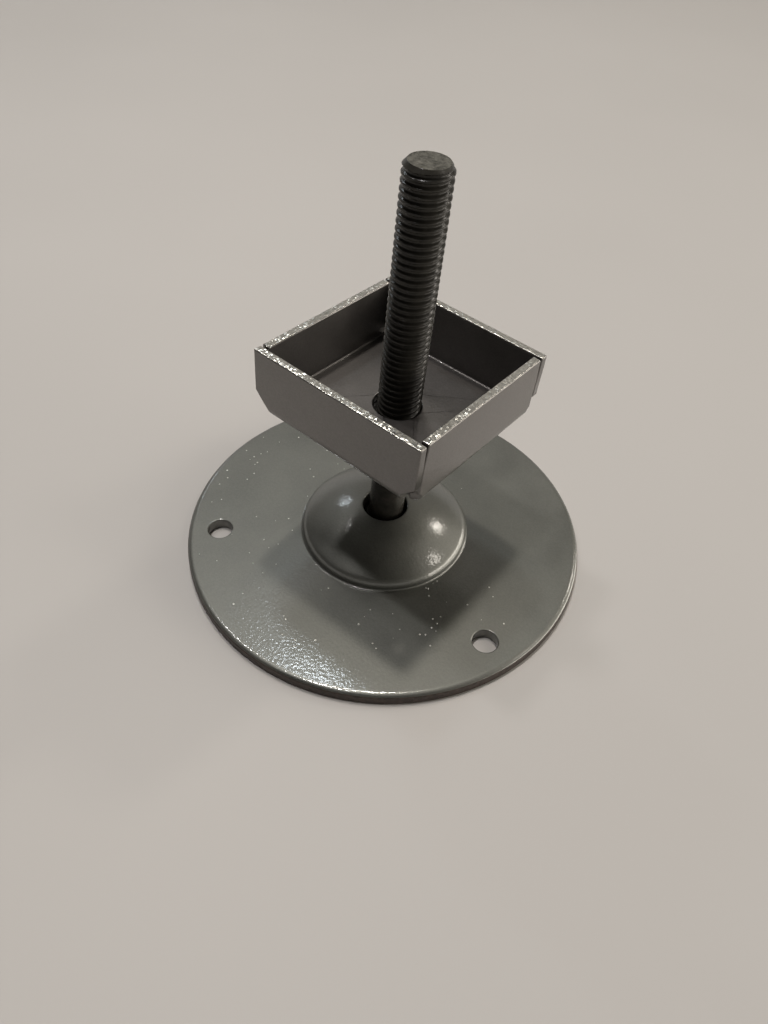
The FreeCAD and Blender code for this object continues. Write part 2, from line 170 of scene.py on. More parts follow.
@dataclass(frozen=True)
class MetallicEnamel:
    """Silver-grey enamel with aluminium flake, sprayed: satin, mottled, with a slight orange peel.

    The peel shows in full in the clear coat, and by a share in the flake under it.
    """

    name: str
    dark: str
    light: str
    metallic: float
    smooth: float
    rough: float
    coat: float
    coat_roughness: float
    peel_mm: float
    peel_depth_mm: float
    coat_ior: float = 1.6
    mottle_mm: float = 14.0
    flake_mm: float = 0.3
    flake_share: float = 0.2
    under_share: float = 0.25

    def material(self) -> Material:
        """Make the material: slow mottling, fine flake and a peel that breaks up the highlights.

        Returns:
            The material.
        """
        material, tree, place = new_material(self.name)
        mottle = add_node(tree, "ShaderNodeTexNoise", {
            "Vector": place, "Scale": per_mm(self.mottle_mm), "Detail": 4.0, "Roughness": 0.6})
        flake = add_node(tree, "ShaderNodeTexVoronoi", {"Vector": place, "Scale": per_mm(self.flake_mm)})
        grain = add_node(tree, "ShaderNodeSeparateColor", {"Color": flake.outputs["Color"]})
        tone = add_node(tree, "ShaderNodeMix", {"Factor": self.flake_share, "A": mottle, "B": grain})
        rough = add_node(tree, "ShaderNodeMapRange", {
            "Value": mottle, "From Min": 0.3, "From Max": 0.7, "To Min": self.smooth, "To Max": self.rough})
        peel = add_node(tree, "ShaderNodeTexNoise", {
            "Vector": place, "Scale": per_mm(self.peel_mm), "Detail": 2.0, "Roughness": 0.45})
        depths = (self.peel_depth_mm*self.under_share, self.peel_depth_mm)
        under, over = [add_node(tree, "ShaderNodeBump", {
            "Height": peel, "Distance": depth*MM, "Strength": 1.0}) for depth in depths]
        close_material(tree, tone, self.dark, self.light, {
            "Metallic": self.metallic, "Roughness": rough, "Normal": under, "Coat Weight": self.coat,
            "Coat Roughness": self.coat_roughness, "Coat IOR": self.coat_ior, "Coat Normal": over})
        return material


@dataclass(frozen=True)
class PaintedCutEdge:
    """Sheared sheet edge under thin paint: torn and coarse, its grains glinting; a pale light colour also
    paints glints on single grains.
    """

    name: str
    dark: str
    light: str
    metallic: float
    roughness: float
    grit_mm: float
    tilt: float
    grains_per_cloud: float = 4.0
    own_share: float = 0.5

    def material(self) -> Material:
        """Make the material: grains that lie askew and glint one by one, each with its own tone between the
        two colours, which paints glints where the light colour is pale.

        Returns:
            The material.
        """
        material, tree, place = new_material(self.name)
        grain = add_node(tree, "ShaderNodeTexVoronoi", {
            "Vector": place, "Scale": per_mm(self.grit_mm)}).outputs["Color"]
        cloud = add_node(tree, "ShaderNodeTexNoise", {
            "Vector": place, "Scale": per_mm(self.grains_per_cloud*self.grit_mm), "Detail": 2.0})
        # Each grain's own tone; with a pale light colour, single grains come out near white as painted
        # glints.
        own = add_node(tree, "ShaderNodeSeparateColor", {"Color": grain})
        tone = add_node(tree, "ShaderNodeMix", {"Factor": self.own_share, "A": cloud, "B": own})
        askew = add_node(tree, "ShaderNodeVectorMath", {0: grain, 1: (0.5, 0.5, 0.5)}, operation="SUBTRACT")
        facing = add_node(tree, "ShaderNodeNewGeometry").outputs["Normal"]
        turned = add_node(tree, "ShaderNodeVectorMath", {
            0: askew, 1: (self.tilt,)*3, 2: facing}, operation="MULTIPLY_ADD")
        normal = add_node(tree, "ShaderNodeVectorMath", {0: turned}, operation="NORMALIZE")
        close_material(tree, tone, self.dark, self.light, {
            "Metallic": self.metallic, "Roughness": self.roughness, "Normal": normal})
        return material


@dataclass(frozen=True)
class BlackOxide:
    """Steel blackened in a hot bath and oiled: nearly black, satin, greyer where it has rubbed."""

    name: str
    dark: str
    rubbed: str
    metallic: float
    roughness: float
    specular: float
    cloud_mm: float = 3.0
    grain_mm: float = 0.25
    grain_depth_mm: float = 0.006

    def material(self) -> Material:
        """Make the material: clouds of wear over a fine drawn grain.

        Returns:
            The material.
        """
        material, tree, place = new_material(self.name)
        cloud = add_node(tree, "ShaderNodeTexNoise", {
            "Vector": place, "Scale": per_mm(self.cloud_mm), "Detail": 5.0, "Roughness": 0.65})
        share = add_node(tree, "ShaderNodeMapRange", {"Value": cloud, "From Min": 0.35, "From Max": 0.75})
        grain = add_node(tree, "ShaderNodeTexNoise", {
            "Vector": place, "Scale": per_mm(self.grain_mm), "Detail": 2.0})
        bump = add_node(tree, "ShaderNodeBump", {
            "Height": grain, "Distance": self.grain_depth_mm*MM, "Strength": 1.0})
        close_material(tree, share, self.dark, self.rubbed, {
            "Metallic": self.metallic, "Roughness": self.roughness, "Specular IOR Level": self.specular,
            "Normal": bump})
        return material


@dataclass(frozen=True)
class TableTop:
    """Pale matt table top: even, with a hardly visible cloud."""

    name: str
    dark: str
    light: str
    roughness: float = 0.7
    cloud_mm: float = 160.0

    def material(self) -> Material:
        """Make the material: one slow cloud between two near tones.

        Returns:
            The material.
        """
        material, tree, place = new_material(self.name)
        cloud = add_node(tree, "ShaderNodeTexNoise", {
            "Vector": place, "Scale": per_mm(self.cloud_mm), "Detail": 2.0})
        close_material(tree, cloud, self.dark, self.light, {"Roughness": self.roughness})
        return material


# Flake enamel sprayed on pressed steel: a grey sheen that swings with the light, and a clear gloss that
# the peel breaks into grains. Real flake and peel are finer; both are drawn as coarse as they need to show.
PLATE_PAINT = MetallicEnamel("silver_enamel_plate", "#5A5B57", "#787973", metallic=0.97, smooth=0.44,
                             rough=0.54, coat=0.9, coat_roughness=0.1, peel_mm=0.7, peel_depth_mm=0.053)
# Dust nibs in the enamel, drawn much paler than it: the pale colour is a painted glint on each speck.
PLATE_NIB_PAINTED_GLINT = MetallicEnamel("silver_enamel_nib", "#B4B4AE", "#D8D8D2", metallic=0.6, smooth=0.3, rough=0.4,
                           coat=1.0, coat_roughness=0.15, peel_mm=0.6, peel_depth_mm=0.022)
# The plate's sheared side, drawn dark: a dull brown-black band with a coarse tear.
PLATE_EDGE = PaintedCutEdge("dull_shear_edge", "#241C18", "#4A3F38", metallic=0.2, roughness=0.5,
                            grit_mm=0.8, tilt=0.1)
# The plate's enamel on folded sheet: a little warmer, with a shallower peel.
CUP_PAINT = MetallicEnamel("silver_enamel_cup", "#585553", "#767370", metallic=0.97, smooth=0.44,
                           rough=0.54, coat=0.9, coat_roughness=0.1, peel_mm=0.7, peel_depth_mm=0.045)
# The cup's cut rim under paint, drawn pale with near-white grains: a painted highlight on the rim's upper
# face and painted glints on single grains, beside real glints from the grains' tilt. Its grit is drawn
# coarser than it is.
CUP_RIM_PAINTED_HIGHLIGHT = PaintedCutEdge("painted_shear_edge", "#8A8983", "#DEDCD4", metallic=0.9, roughness=0.3,
                          grit_mm=0.4, tilt=0.45)
# Rolled steel, blackened and oiled: nearly black, with a narrow wet sheen on every crest.
STUD_OXIDE = BlackOxide("black_oxide_stud", "#2A2926", "#3D3B36", metallic=0.0, roughness=0.24, specular=0.25)
# Sawn steel, blackened: dull grey in patches. The saw's grain is drawn coarser than it is.
STUD_END = BlackOxide("sawn_stud_end", "#302F27", "#75736A", metallic=0.3, roughness=0.42, specular=0.4,
                      cloud_mm=1.0, grain_mm=0.5, grain_depth_mm=0.1)
# Forged steel, blackened and wiped dry: as dark as the stud, but duller.
NUT_OXIDE = BlackOxide("black_oxide_nut", "#242423", "#3A3934", metallic=0.0, roughness=0.35, specular=0.32)
# Matt painted board: an even warm grey that shows little but soft shadows.
TABLE = TableTop("pale_matt_table", "#BAB7B3", "#C2BFBB")


def arc(centre: Point, radius: float, start: float, end: float, steps: int) -> list[Point]:
    """Return points along an arc.

    Args:
        centre: Middle of the arc.
        radius: Radius.
        start: First angle in degrees, from the first axis.
        end: Last angle in degrees.
        steps: Number of chords.

    Returns:
        The points, both ends included.
    """
    turns = [math.radians(start + (end - start)*i/steps) for i in range(steps + 1)]
    return [(centre[0] + radius*math.cos(t), centre[1] + radius*math.sin(t)) for t in turns]


def bridge(bm: BMesh, lower: Sequence[BMVert], upper: Sequence[BMVert]) -> None:
    """Add the faces between two closed rings; a corner that both share is used once.

    Args:
        bm: Mesh that gets the faces.
        lower: Points of the first ring.
        upper: Points of the second ring, as many.
    """
    for i in range(len(lower)):
        j = (i + 1) % len(lower)
        bm.faces.new(dict.fromkeys((lower[i], lower[j], upper[j], upper[i])))


def revolve(bm: BMesh, profile: Sequence[Point], segments: int, closed: bool = False) -> None:
    """Turn a profile of (radius, height) points about the Z axis.

    Args:
        bm: Mesh that gets the surface.
        profile: Points in millimetres; a radius of zero makes a pole.
        segments: Number of faces round the axis.
        closed: Whether the last point joins the first.
    """
    rings = []
    turns = [2*math.pi*i/segments for i in range(segments)]
    for radius, height in profile:
        if radius == 0:
            rings.append([bm.verts.new((0, 0, height*MM))]*segments)
            continue
        rings.append([bm.verts.new((radius*math.cos(t)*MM, radius*math.sin(t)*MM, height*MM)) for t in turns])
    if closed:
        rings.append(rings[0])
    for lower, upper in zip(rings, rings[1:]):
        bridge(bm, lower, upper)


def weld(bm: BMesh) -> None:
    """Merge doubles and turn all faces outwards."""
    bmesh.ops.remove_doubles(bm, verts=bm.verts, dist=WELD_MM*MM)
    bmesh.ops.recalc_face_normals(bm, faces=bm.faces)


def new_piece(name: str, bm: BMesh, materials: Sequence[Material] = ()) -> Object:
    """Turn a mesh under construction into a linked object at the origin.

    Args:
        name: Name of the piece.
        bm: Its mesh, which is freed.
        materials: Materials for its slots.

    Returns:
        The object.
    """
    mesh = bpy.data.meshes.new(name)
    bm.to_mesh(mesh)
    bm.free()
    for material in materials:
        mesh.materials.append(material)
    piece = bpy.data.objects.new(name, mesh)
    bpy.context.scene.collection.objects.link(piece)
    return piece


@contextmanager
def editing(piece: Object) -> Iterator[BMesh]:
    """Open a piece's mesh for editing, and put it back afterwards.

    Args:
        piece: The piece.

    Yields:
        Its mesh under construction.
    """
    bm = bmesh.new()
    bm.from_mesh(piece.data)
    yield bm
    bm.to_mesh(piece.data)
    bm.free()


def bake(piece: Object) -> None:
    """Turn a piece's modifiers into its own plain mesh.

    Args:
        piece: The piece.
    """
    depsgraph = bpy.context.evaluated_depsgraph_get()
    old = piece.data
    piece.data = bpy.data.meshes.new_from_object(piece.evaluated_get(depsgraph))
    piece.modifiers.clear()
    piece.data.name = piece.name
    bpy.data.meshes.remove(old)


def shade(piece: Object, sharp_deg: float) -> None:
    """Shade a piece smooth, with flats kept flat.

    Args:
        piece: The piece.
        sharp_deg: Angle over which an edge stays sharp.
    """
    piece.data.shade_smooth()
    piece.data.set_sharp_from_angle(angle=math.radians(sharp_deg))
    flats = piece.modifiers.new("flats", "WEIGHTED_NORMAL")
    flats.keep_sharp = True
    bake(piece)


def place(piece: Object, matrix: Matrix) -> None:
    """Move a piece's mesh to its place in the part's frame; the object stays at the origin."""
    piece.data.transform(matrix)
    piece.data.update()


def geometry_tree(name: str, inputs: Mapping[str, str]) -> tuple[NodeTree, NodeOutputs]:
    """Start a geometry node tree with named inputs.

    Args:
        name: Name of the tree.
        inputs: Socket types by input name, after the geometry.

    Returns:
        The tree and the sockets that give its inputs.
    """
    tree = bpy.data.node_groups.new(name, "GeometryNodeTree")
    tree.interface.new_socket("Geometry", in_out="OUTPUT", socket_type="NodeSocketGeometry")
    tree.interface.new_socket("Geometry", in_out="INPUT", socket_type="NodeSocketGeometry")
    for label, kind in inputs.items():
        tree.interface.new_socket(label, in_out="INPUT", socket_type="NodeSocket" + kind)
    return tree, tree.nodes.new("NodeGroupInput").outputs


def close_tree(tree: NodeTree, geometry: Node, material: NodeSocket) -> None:
    """End a geometry tree: realize what it made and set its material.

    Args:
        tree: The tree.
        geometry: Node that gives the geometry.
        material: Socket of the material.
    """
    real = add_node(tree, "GeometryNodeRealizeInstances", {"Geometry": geometry})
    dressed = add_node(tree, "GeometryNodeSetMaterial", {"Geometry": real, "Material": material})
    add_node(tree, "NodeGroupOutput", {"Geometry": dressed})


def run_tree(piece: Object, tree: NodeTree, values: Mapping[str, Any]) -> None:
    """Run a geometry tree on a piece and bake the result, which keeps one material slot.

    Args:
        piece: Object whose mesh goes in and comes out.
        tree: The tree.
        values: Values for its named inputs.
    """
    modifier = piece.modifiers.new(tree.name, "NODES")
    modifier.node_group = tree
    for item in tree.interface.items_tree:
        if item.in_out == "INPUT" and item.name in values:
            modifier[item.identifier] = values[item.name]
    bake(piece)
    materials = piece.data.materials
    finish = next(material for material in materials if material)
    materials.clear()
    materials.append(finish)
    for face in piece.data.polygons:
        face.material_index = 0


@dataclass(frozen=True)
class StudAxis:
    """The leaning line that the stud, nut and cup share."""

    pivot: Vector
    direction: Vector

    @classmethod
    def from_frame(cls) -> "StudAxis":
        """Read the axis from the frame's joints."""
        lift = Vector(named(frame["joints"], "cup_lift")["axis"]).normalized()
        return cls(Vector(named(frame["joints"], "stud_tilt")["pos_m"]), lift)

    def matrix(self, origin: Vector) -> Matrix:
        """Return the placement that leans an upright piece and puts its own origin at a point."""
        turn = Vector((0, 0, 1)).rotation_difference(self.direction)
        return Matrix.Translation(origin) @ turn.to_matrix().to_4x4()


@dataclass
class Thread:
    """Rolled metric thread: a helical surface between two heights."""

    crest_r: float
    root_r: float
    low: float
    high: float
    crest_z: float = 0.839
    pitch: float = 1.5
    crest_half: float = 0.1
    root_half: float = 0.16
    seam: float = 0.002
    segments: int = 72
    rows_per_turn: int = 16

    def lengths(self) -> dict[str, float]:
        """Return the tree's lengths in millimetres, by input name."""
        return {"Crest Radius": self.crest_r, "Root Radius": self.root_r, "Low": self.low, "High": self.high,
                "Crest Height": self.crest_z, "Pitch": self.pitch, "Crest Half": self.crest_half,
                "Root Start": self.pitch/2 - self.root_half}

    def tree(self) -> NodeTree:
        """Build the tree that wraps a grid round the axis, one row per helix line.

        Returns:
            The tree.
        """
        tree, size = geometry_tree("rolled_thread", {
            **dict.fromkeys(self.lengths(), "Float"), "Turns": "Float", "Segments": "Int", "Rows": "Int",
            "Finish": "Material"})
        grid = add_node(tree, "GeometryNodeMeshGrid", {
            "Size X": 1.0, "Size Y": 1.0, "Vertices X": size["Segments"], "Vertices Y": size["Rows"]})
        spot = add_node(tree, "ShaderNodeSeparateXYZ", {
            "Vector": add_node(tree, "GeometryNodeInputPosition")})
        # Sums that turn a spot on the grid into its angle, its height and its distance from the crest's line.
        known = {"x": spot.outputs["X"], "y": spot.outputs["Y"], **{socket.name: socket for socket in size}}
        for name, operation, *terms in (
                ("around", "ADD", "x", 0.5),
                ("angle", "MULTIPLY", "around", 2*math.pi),
                ("share", "ADD", "y", 0.5),
                ("row", "MULTIPLY", "share", "Turns"),
                ("along", "SUBTRACT", "row", 1.0),
                ("turns up", "ADD", "along", "around"),
                ("height", "MULTIPLY_ADD", "turns up", "Pitch", "Low"),
                ("start", "SUBTRACT", "Low", "Crest Height"),
                ("start turns", "DIVIDE", "start", "Pitch"),
                ("phase", "ADD", "start turns", "along"),
                ("in turn", "FRACT", "phase"),
                ("past root", "SUBTRACT", "in turn", 0.5),
                ("off root", "ABSOLUTE", "past root"),
                ("crest share", "SUBTRACT", 0.5, "off root"),
                ("off crest", "MULTIPLY", "crest share", "Pitch")):
            inputs = {i: known.get(term, term) for i, term in enumerate(terms)}
            known[name] = add_node(tree, "ShaderNodeMath", inputs, operation=operation)
        radius = add_node(tree, "ShaderNodeMapRange", {
            "Value": known["off crest"], "From Min": size["Crest Half"], "From Max": size["Root Start"],
            "To Min": size["Crest Radius"], "To Max": size["Root Radius"]}, interpolation_type="SMOOTHSTEP")
        wrapped = {"Z": add_node(tree, "ShaderNodeClamp", {
            "Value": known["height"], "Min": size["Low"], "Max": size["High"]})}
        for way, wave in (("X", "COSINE"), ("Y", "SINE")):
            share = add_node(tree, "ShaderNodeMath", {0: known["angle"]}, operation=wave)
            wrapped[way] = add_node(tree, "ShaderNodeMath", {0: radius, 1: share}, operation="MULTIPLY")
        moved = add_node(tree, "GeometryNodeSetPosition", {
            "Geometry": grid, "Position": add_node(tree, "ShaderNodeCombineXYZ", wrapped)})
        closed = add_node(tree, "GeometryNodeMergeByDistance", {"Geometry": moved, "Distance": self.seam*MM})
        close_tree(tree, closed, size["Finish"])
        return tree

    def build(self, name: str, material: Material, rule: Callable[[float, float], float]) -> Object:
        """Make the upright thread surface.

        Args:
            name: Name of the piece.
            material: Its finish.
            rule: Gives a point's final radius from its radius and height, in millimetres.

        Returns:
            The object, open at both ends.
        """
        steps = math.ceil(((self.high - self.low)/self.pitch + 1)*self.rows_per_turn)
        piece = new_piece(name, bmesh.new())
        run_tree(piece, self.tree(), {
            **{label: length*MM for label, length in self.lengths().items()},
            "Turns": steps/self.rows_per_turn, "Segments": self.segments + 1, "Rows": steps + 1,
            "Finish": material})
        for vertex in piece.data.vertices:
            radius = math.hypot(vertex.co.x, vertex.co.y)
            share = rule(radius/MM, vertex.co.z/MM)*MM/radius
            vertex.co.x *= share
            vertex.co.y *= share
        return piece


@dataclass
class BasePlate:
    """Round plate pressed from one sheet, with a hollow dome and three fixing holes."""

    disc_r: float = 50.0
    sheet_t: float = 3.0
    edge_roll_w: float = 1.5
    edge_roll_h: float = 0.9
    edge_under_r: float = 0.3
    dome_base_r: float = 21.2
    dome_rise: float = 8.1
    dome_wall_h: float = 2.0
    shoulder_r: float = 2.8
    valley_r: float = 0.4
    inside_r: float = 1.0
    under_r: float = 1.8
    lip_r: float = 0.45
    hole_r: float = 5.5
    wall_share: float = 0.93
    side_share: float = 0.12
    screw_hole_r: float = 3.0
    screw_circle_r: float = 42.0
    screw_count: int = 3
    screw_phase_deg: float = 103.86
    mouth_r: float = 0.35
    punch_past: float = 1.0
    punch_segments: int = 48
    segments: int = 256
    sharp_deg: float = 40.0

    def profile(self) -> list[Point]:
        """Draw the closed section of the sheet, from the dome's hole outwards and back underneath.

        Returns:
            Points of radius and height.
        """
        top = self.sheet_t + self.dome_rise
        wall_top = self.sheet_t + self.dome_wall_h
        middle = (self.hole_r**2 + top**2 - self.dome_base_r**2 - wall_top**2)/(2*(top - wall_top))
        outer = math.hypot(self.hole_r, top - middle)
        inner = outer - self.sheet_t
        inner_wall = self.dome_base_r - self.sheet_t*self.wall_share

        def within(cap_r: float, radius: float, x: float) -> tuple[Point, float]:
            """Return the middle of a rounding that touches a cap from inside, and its direction."""
            z = middle + math.sqrt((cap_r - radius)**2 - x**2)
            return (x, z), math.degrees(math.atan2(z - middle, x))

        lip, lip_turn = within(outer, self.lip_r, self.hole_r + self.lip_r)
        shoulder, shoulder_turn = within(outer, self.shoulder_r, self.dome_base_r - self.shoulder_r)
        inside, inside_turn = within(inner, self.inside_r, inner_wall - self.inside_r)
        lip_low_turn = math.degrees(math.acos(self.hole_r/inner))
        valley = (self.dome_base_r + self.valley_r, self.sheet_t + self.valley_r)
        corner = (self.disc_r - self.edge_under_r, self.edge_under_r)
        points = arc(lip, self.lip_r, 180, lip_turn, steps=6)
        points += arc((0, middle), outer, lip_turn, shoulder_turn, steps=28)[1:]
        points += arc(shoulder, self.shoulder_r, shoulder_turn, 0, steps=10)[1:]
        points += arc(valley, self.valley_r, 180, 270, steps=5)
        points += [(self.disc_r + (x - 1)*self.edge_roll_w, self.sheet_t + (z - 1)*self.edge_roll_h)
                   for x, z in arc((0, 0), 1.0, 90, 0, steps=10)]
        points += arc(corner, self.edge_under_r, 0, -90, steps=4)
        points += arc((inner_wall + self.under_r, self.under_r), self.under_r, 270, 180, steps=8)
        points += arc(inside, self.inside_r, 0, inside_turn, steps=6)
        points += arc((0, middle), inner, inside_turn, lip_low_turn, steps=24)[1:]
        return points

    def punch(self) -> Object:
        """Make the punch for one fixing hole, flared so that the hole's mouths come out eased.

        Returns:
            The punch, upright on the Z axis.
        """
        ease = self.mouth_r
        flare = self.screw_hole_r + ease
        top = self.sheet_t + self.punch_past
        points = [(0, -self.punch_past), (flare, -self.punch_past)]
        points += arc((flare, ease), ease, 270, 180, steps=4)
        points += arc((flare, self.sheet_t - ease), ease, 180, 90, steps=4)
        points += [(flare, top), (0, top)]
        bm = bmesh.new()
        revolve(bm, points, self.punch_segments)
        weld(bm)
        return new_piece("screw_hole_punch", bm)

    def punch_tree(self) -> NodeTree:
        """Build the tree that sets the punch round a circle and cuts it out.

        Returns:
            The tree.
        """
        tree, size = geometry_tree("fixing_holes", {
            "Punch": "Object", "Count": "Int", "Circle Radius": "Float", "First Angle": "Float",
            "Finish": "Material"})
        ring = add_node(tree, "GeometryNodeMeshCircle", {
            "Vertices": size["Count"], "Radius": size["Circle Radius"]})
        angle = add_node(tree, "ShaderNodeCombineXYZ", {"Z": size["First Angle"]})
        turned = add_node(tree, "GeometryNodeTransform", {"Geometry": ring, "Rotation": angle})
        punch = add_node(tree, "GeometryNodeObjectInfo", {"Object": size["Punch"]}).outputs["Geometry"]
        punches = add_node(tree, "GeometryNodeInstanceOnPoints", {"Points": turned, "Instance": punch})
        solid = add_node(tree, "GeometryNodeRealizeInstances", {"Geometry": punches})
        cut = add_node(tree, "GeometryNodeMeshBoolean", {
            "Mesh 1": size["Geometry"], "Mesh 2": solid}, operation="DIFFERENCE", solver="EXACT")
        close_tree(tree, cut, size["Finish"])
        return tree

    def build(self) -> Object:
        """Press the plate, pierce it and dress it.

        Returns:
            The plate.
        """
        finish = PLATE_PAINT.material()
        bm = bmesh.new()
        revolve(bm, self.profile(), self.segments, closed=True)
        weld(bm)
        plate = new_piece("base_plate_pressing", bm)
        punch = self.punch()
        run_tree(plate, self.punch_tree(), {
            "Punch": punch, "Count": self.screw_count, "Circle Radius": self.screw_circle_r*MM,
            "First Angle": math.radians(self.screw_phase_deg), "Finish": finish})
        bpy.data.objects.remove(punch)
        self.dress_side(plate)
        shade(plate, self.sharp_deg)
        return plate

    def dress_side(self, plate: Object) -> None:
        """Give the sheared side of the disc, with a share of its roll, the duller finish.

        Args:
            plate: The pierced plate.
        """
        plate.data.materials.append(PLATE_EDGE.material())
        inner = (self.disc_r - self.side_share*self.edge_roll_w)*MM
        for face in plate.data.polygons:
            if math.hypot(face.center.x, face.center.y) > inner:
                face.material_index = 1


@dataclass
class PaintNibs:
    """Grains of dust caught in the plate's paint, more of them here than there; their pale colour is a
    painted glint.
    """

    plate: BasePlate
    per_cm2: float = 6.0
    patch_mm: float = 22.0
    clean_below: float = 0.45
    full_above: float = 0.8
    thick_side_deg: float = 232.0
    thick_side_share: float = 0.22
    level_facing: float = 0.99
    level_slack: float = 0.01
    small: float = 0.08
    large: float = 0.27
    height_share: float = 0.5
    nib_segments: int = 12
    nib_rings: int = 8
    seed: int = 4

    def tree(self) -> NodeTree:
        """Build the tree that scatters low domes over the disc's upper face.

        Returns:
            The tree.
        """
        tree, size = geometry_tree("paint_nibs", {
            "Density": "Float", "Patch Scale": "Float", "Thick Side": "Vector", "Floor": "Float",
            "Small": "Float", "Large": "Float", "Height Share": "Float", "Seed": "Int", "Finish": "Material"})
        spot = add_node(tree, "GeometryNodeInputPosition")
        height = add_node(tree, "ShaderNodeSeparateXYZ", {"Vector": spot}).outputs["Z"]
        facing = add_node(tree, "ShaderNodeSeparateXYZ", {
            "Vector": add_node(tree, "GeometryNodeInputNormal")}).outputs["Z"]
        level = add_node(tree, "ShaderNodeMath", {0: facing, 1: self.level_facing}, operation="GREATER_THAN")
        high = add_node(tree, "ShaderNodeMath", {0: height, 1: size["Floor"]}, operation="GREATER_THAN")
        upper = add_node(tree, "ShaderNodeMath", {0: level, 1: high}, operation="MULTIPLY")
        points = add_node(tree, "GeometryNodeDistributePointsOnFaces", {
            "Mesh": size["Geometry"], "Selection": upper, "Density": size["Density"], "Seed": size["Seed"]})
        patch = add_node(tree, "ShaderNodeTexNoise", {
            "Vector": spot, "Scale": size["Patch Scale"], "Detail": 1.0})
        side = add_node(tree, "ShaderNodeVectorMath", {
            0: spot, 1: size["Thick Side"]}, operation="DOT_PRODUCT")
        dust = add_node(tree, "ShaderNodeMath", {0: patch, 1: side}, operation="ADD")
        share = add_node(tree, "ShaderNodeMapRange", {
            "Value": dust, "From Min": self.clean_below, "From Max": self.full_above})
        chance = add_node(tree, "FunctionNodeRandomValue", {
            "Min": 0.0, "Max": 1.0, "Seed": size["Seed"]}, data_type="FLOAT")
        bare = add_node(tree, "ShaderNodeMath", {0: chance, 1: share}, operation="GREATER_THAN")
        kept = add_node(tree, "GeometryNodeDeleteGeometry", {
            "Geometry": points, "Selection": bare}, domain="POINT")
        wide = add_node(tree, "FunctionNodeRandomValue", {
            "Min": size["Small"], "Max": size["Large"], "ID": add_node(tree, "GeometryNodeInputIndex"),
            "Seed": size["Seed"]}, data_type="FLOAT")
        tall = add_node(tree, "ShaderNodeMath", {0: wide, 1: size["Height Share"]}, operation="MULTIPLY")
        nib = add_node(tree, "GeometryNodeMeshUVSphere", {
            "Segments": self.nib_segments, "Rings": self.nib_rings, "Radius": 1.0})
        nibs = add_node(tree, "GeometryNodeInstanceOnPoints", {
            "Points": kept, "Instance": nib,
            "Scale": add_node(tree, "ShaderNodeCombineXYZ", {"X": wide, "Y": wide, "Z": tall})})
        close_tree(tree, nibs, size["Finish"])
        return tree

    def build(self, pressing: Object) -> Object:
        """Scatter the nibs.

        Args:
            pressing: The finished plate.

        Returns:
            All nibs as one piece.
        """
        bm = bmesh.new()
        bm.from_mesh(pressing.data)
        nibs = new_piece("base_plate_paint_nibs", bm)
        turn = math.radians(self.thick_side_deg)
        side = Vector((math.cos(turn), math.sin(turn), 0))*self.thick_side_share/(self.plate.disc_r*MM)
        run_tree(nibs, self.tree(), {
            "Density": self.per_cm2*1e4, "Patch Scale": per_mm(self.patch_mm), "Thick Side": side,
            "Floor": (self.plate.sheet_t - self.level_slack)*MM, "Small": self.small*MM,
            "Large": self.large*MM, "Height Share": self.height_share, "Seed": self.seed,
            "Finish": PLATE_NIB_PAINTED_GLINT.material()})
        nibs.data.shade_smooth()
        return nibs


@dataclass
class ThreadedStud:
    """Rod with a rolled thread, a plain neck and a flattened ball under the dome."""

    axis: StudAxis
    ball_r: float = 6.5
    ball_flat: float = 2.8
    neck_r: float = 4.35
    neck_blend: float = 0.9
    crest_r: float = 4.9
    root_r: float = 4.22
    thread_low: float = 16.6
    runout: float = 2.2
    top: float = 92.5
    tip_r: float = 4.0
    tip_h: float = 0.3
    tip_slack: float = 0.005
    cone_h: float = 1.0
    end_slack: float = 0.001
    sharp_deg: float = 50.0

    def build(self) -> Object:
        """Roll the thread, turn the ball and neck, and lean the whole on its axis.

        Returns:
            The stud in its place.
        """
        finish = STUD_OXIDE.material()
        thread = Thread(self.crest_r, self.root_r, self.thread_low, self.top)
        stud = thread.build("threaded_stud_rolled", finish, self.end_radius)
        with editing(stud) as bm:
            revolve(bm, self.lower_profile(), thread.segments)
            revolve(bm, [(self.tip_r, self.top), (0, self.top)], thread.segments)
            weld(bm)
            for face in bm.faces:
                if min(vertex.co.z for vertex in face.verts) > (self.top - self.end_slack)*MM:
                    face.material_index = 1
        stud.data.materials.append(STUD_END.material())
        shade(stud, self.sharp_deg)
        place(stud, self.axis.matrix(self.axis.pivot))
        return stud

    def end_radius(self, radius: float, height: float) -> float:
        """Fade the thread into the neck and chamfer its top.

        Args:
            radius: Radius of a point of the plain thread.
            height: Its height.

        Returns:
            The point's final radius.
        """
        fade = min(max((height - self.thread_low)/self.runout, 0), 1)
        radius = self.neck_r + (radius - self.neck_r)*fade
        below = max(self.top - height - self.tip_slack, 0)
        cone = self.tip_r + (self.crest_r - self.tip_r)*below/self.cone_h
        return cone if below < self.tip_h else min(radius, cone)

    def lower_profile(self) -> list[Point]:
        """Draw the section of the flattened ball and the neck.

        Returns:
            Points of radius and height, upwards.
        """
        low_turn = -math.degrees(math.asin(self.ball_flat/self.ball_r))
        blend_x = self.neck_r + self.neck_blend
        blend_z = math.sqrt((self.ball_r + self.neck_blend)**2 - blend_x**2)
        meet = math.degrees(math.atan2(blend_z, blend_x))
        points = [(0, -self.ball_flat)]
        points += arc((0, 0), self.ball_r, low_turn, meet, steps=24)
        points += arc((blend_x, blend_z), self.neck_blend, 180 + meet, 180, steps=6)[1:]
        return points + [(self.neck_r, self.thread_low)]


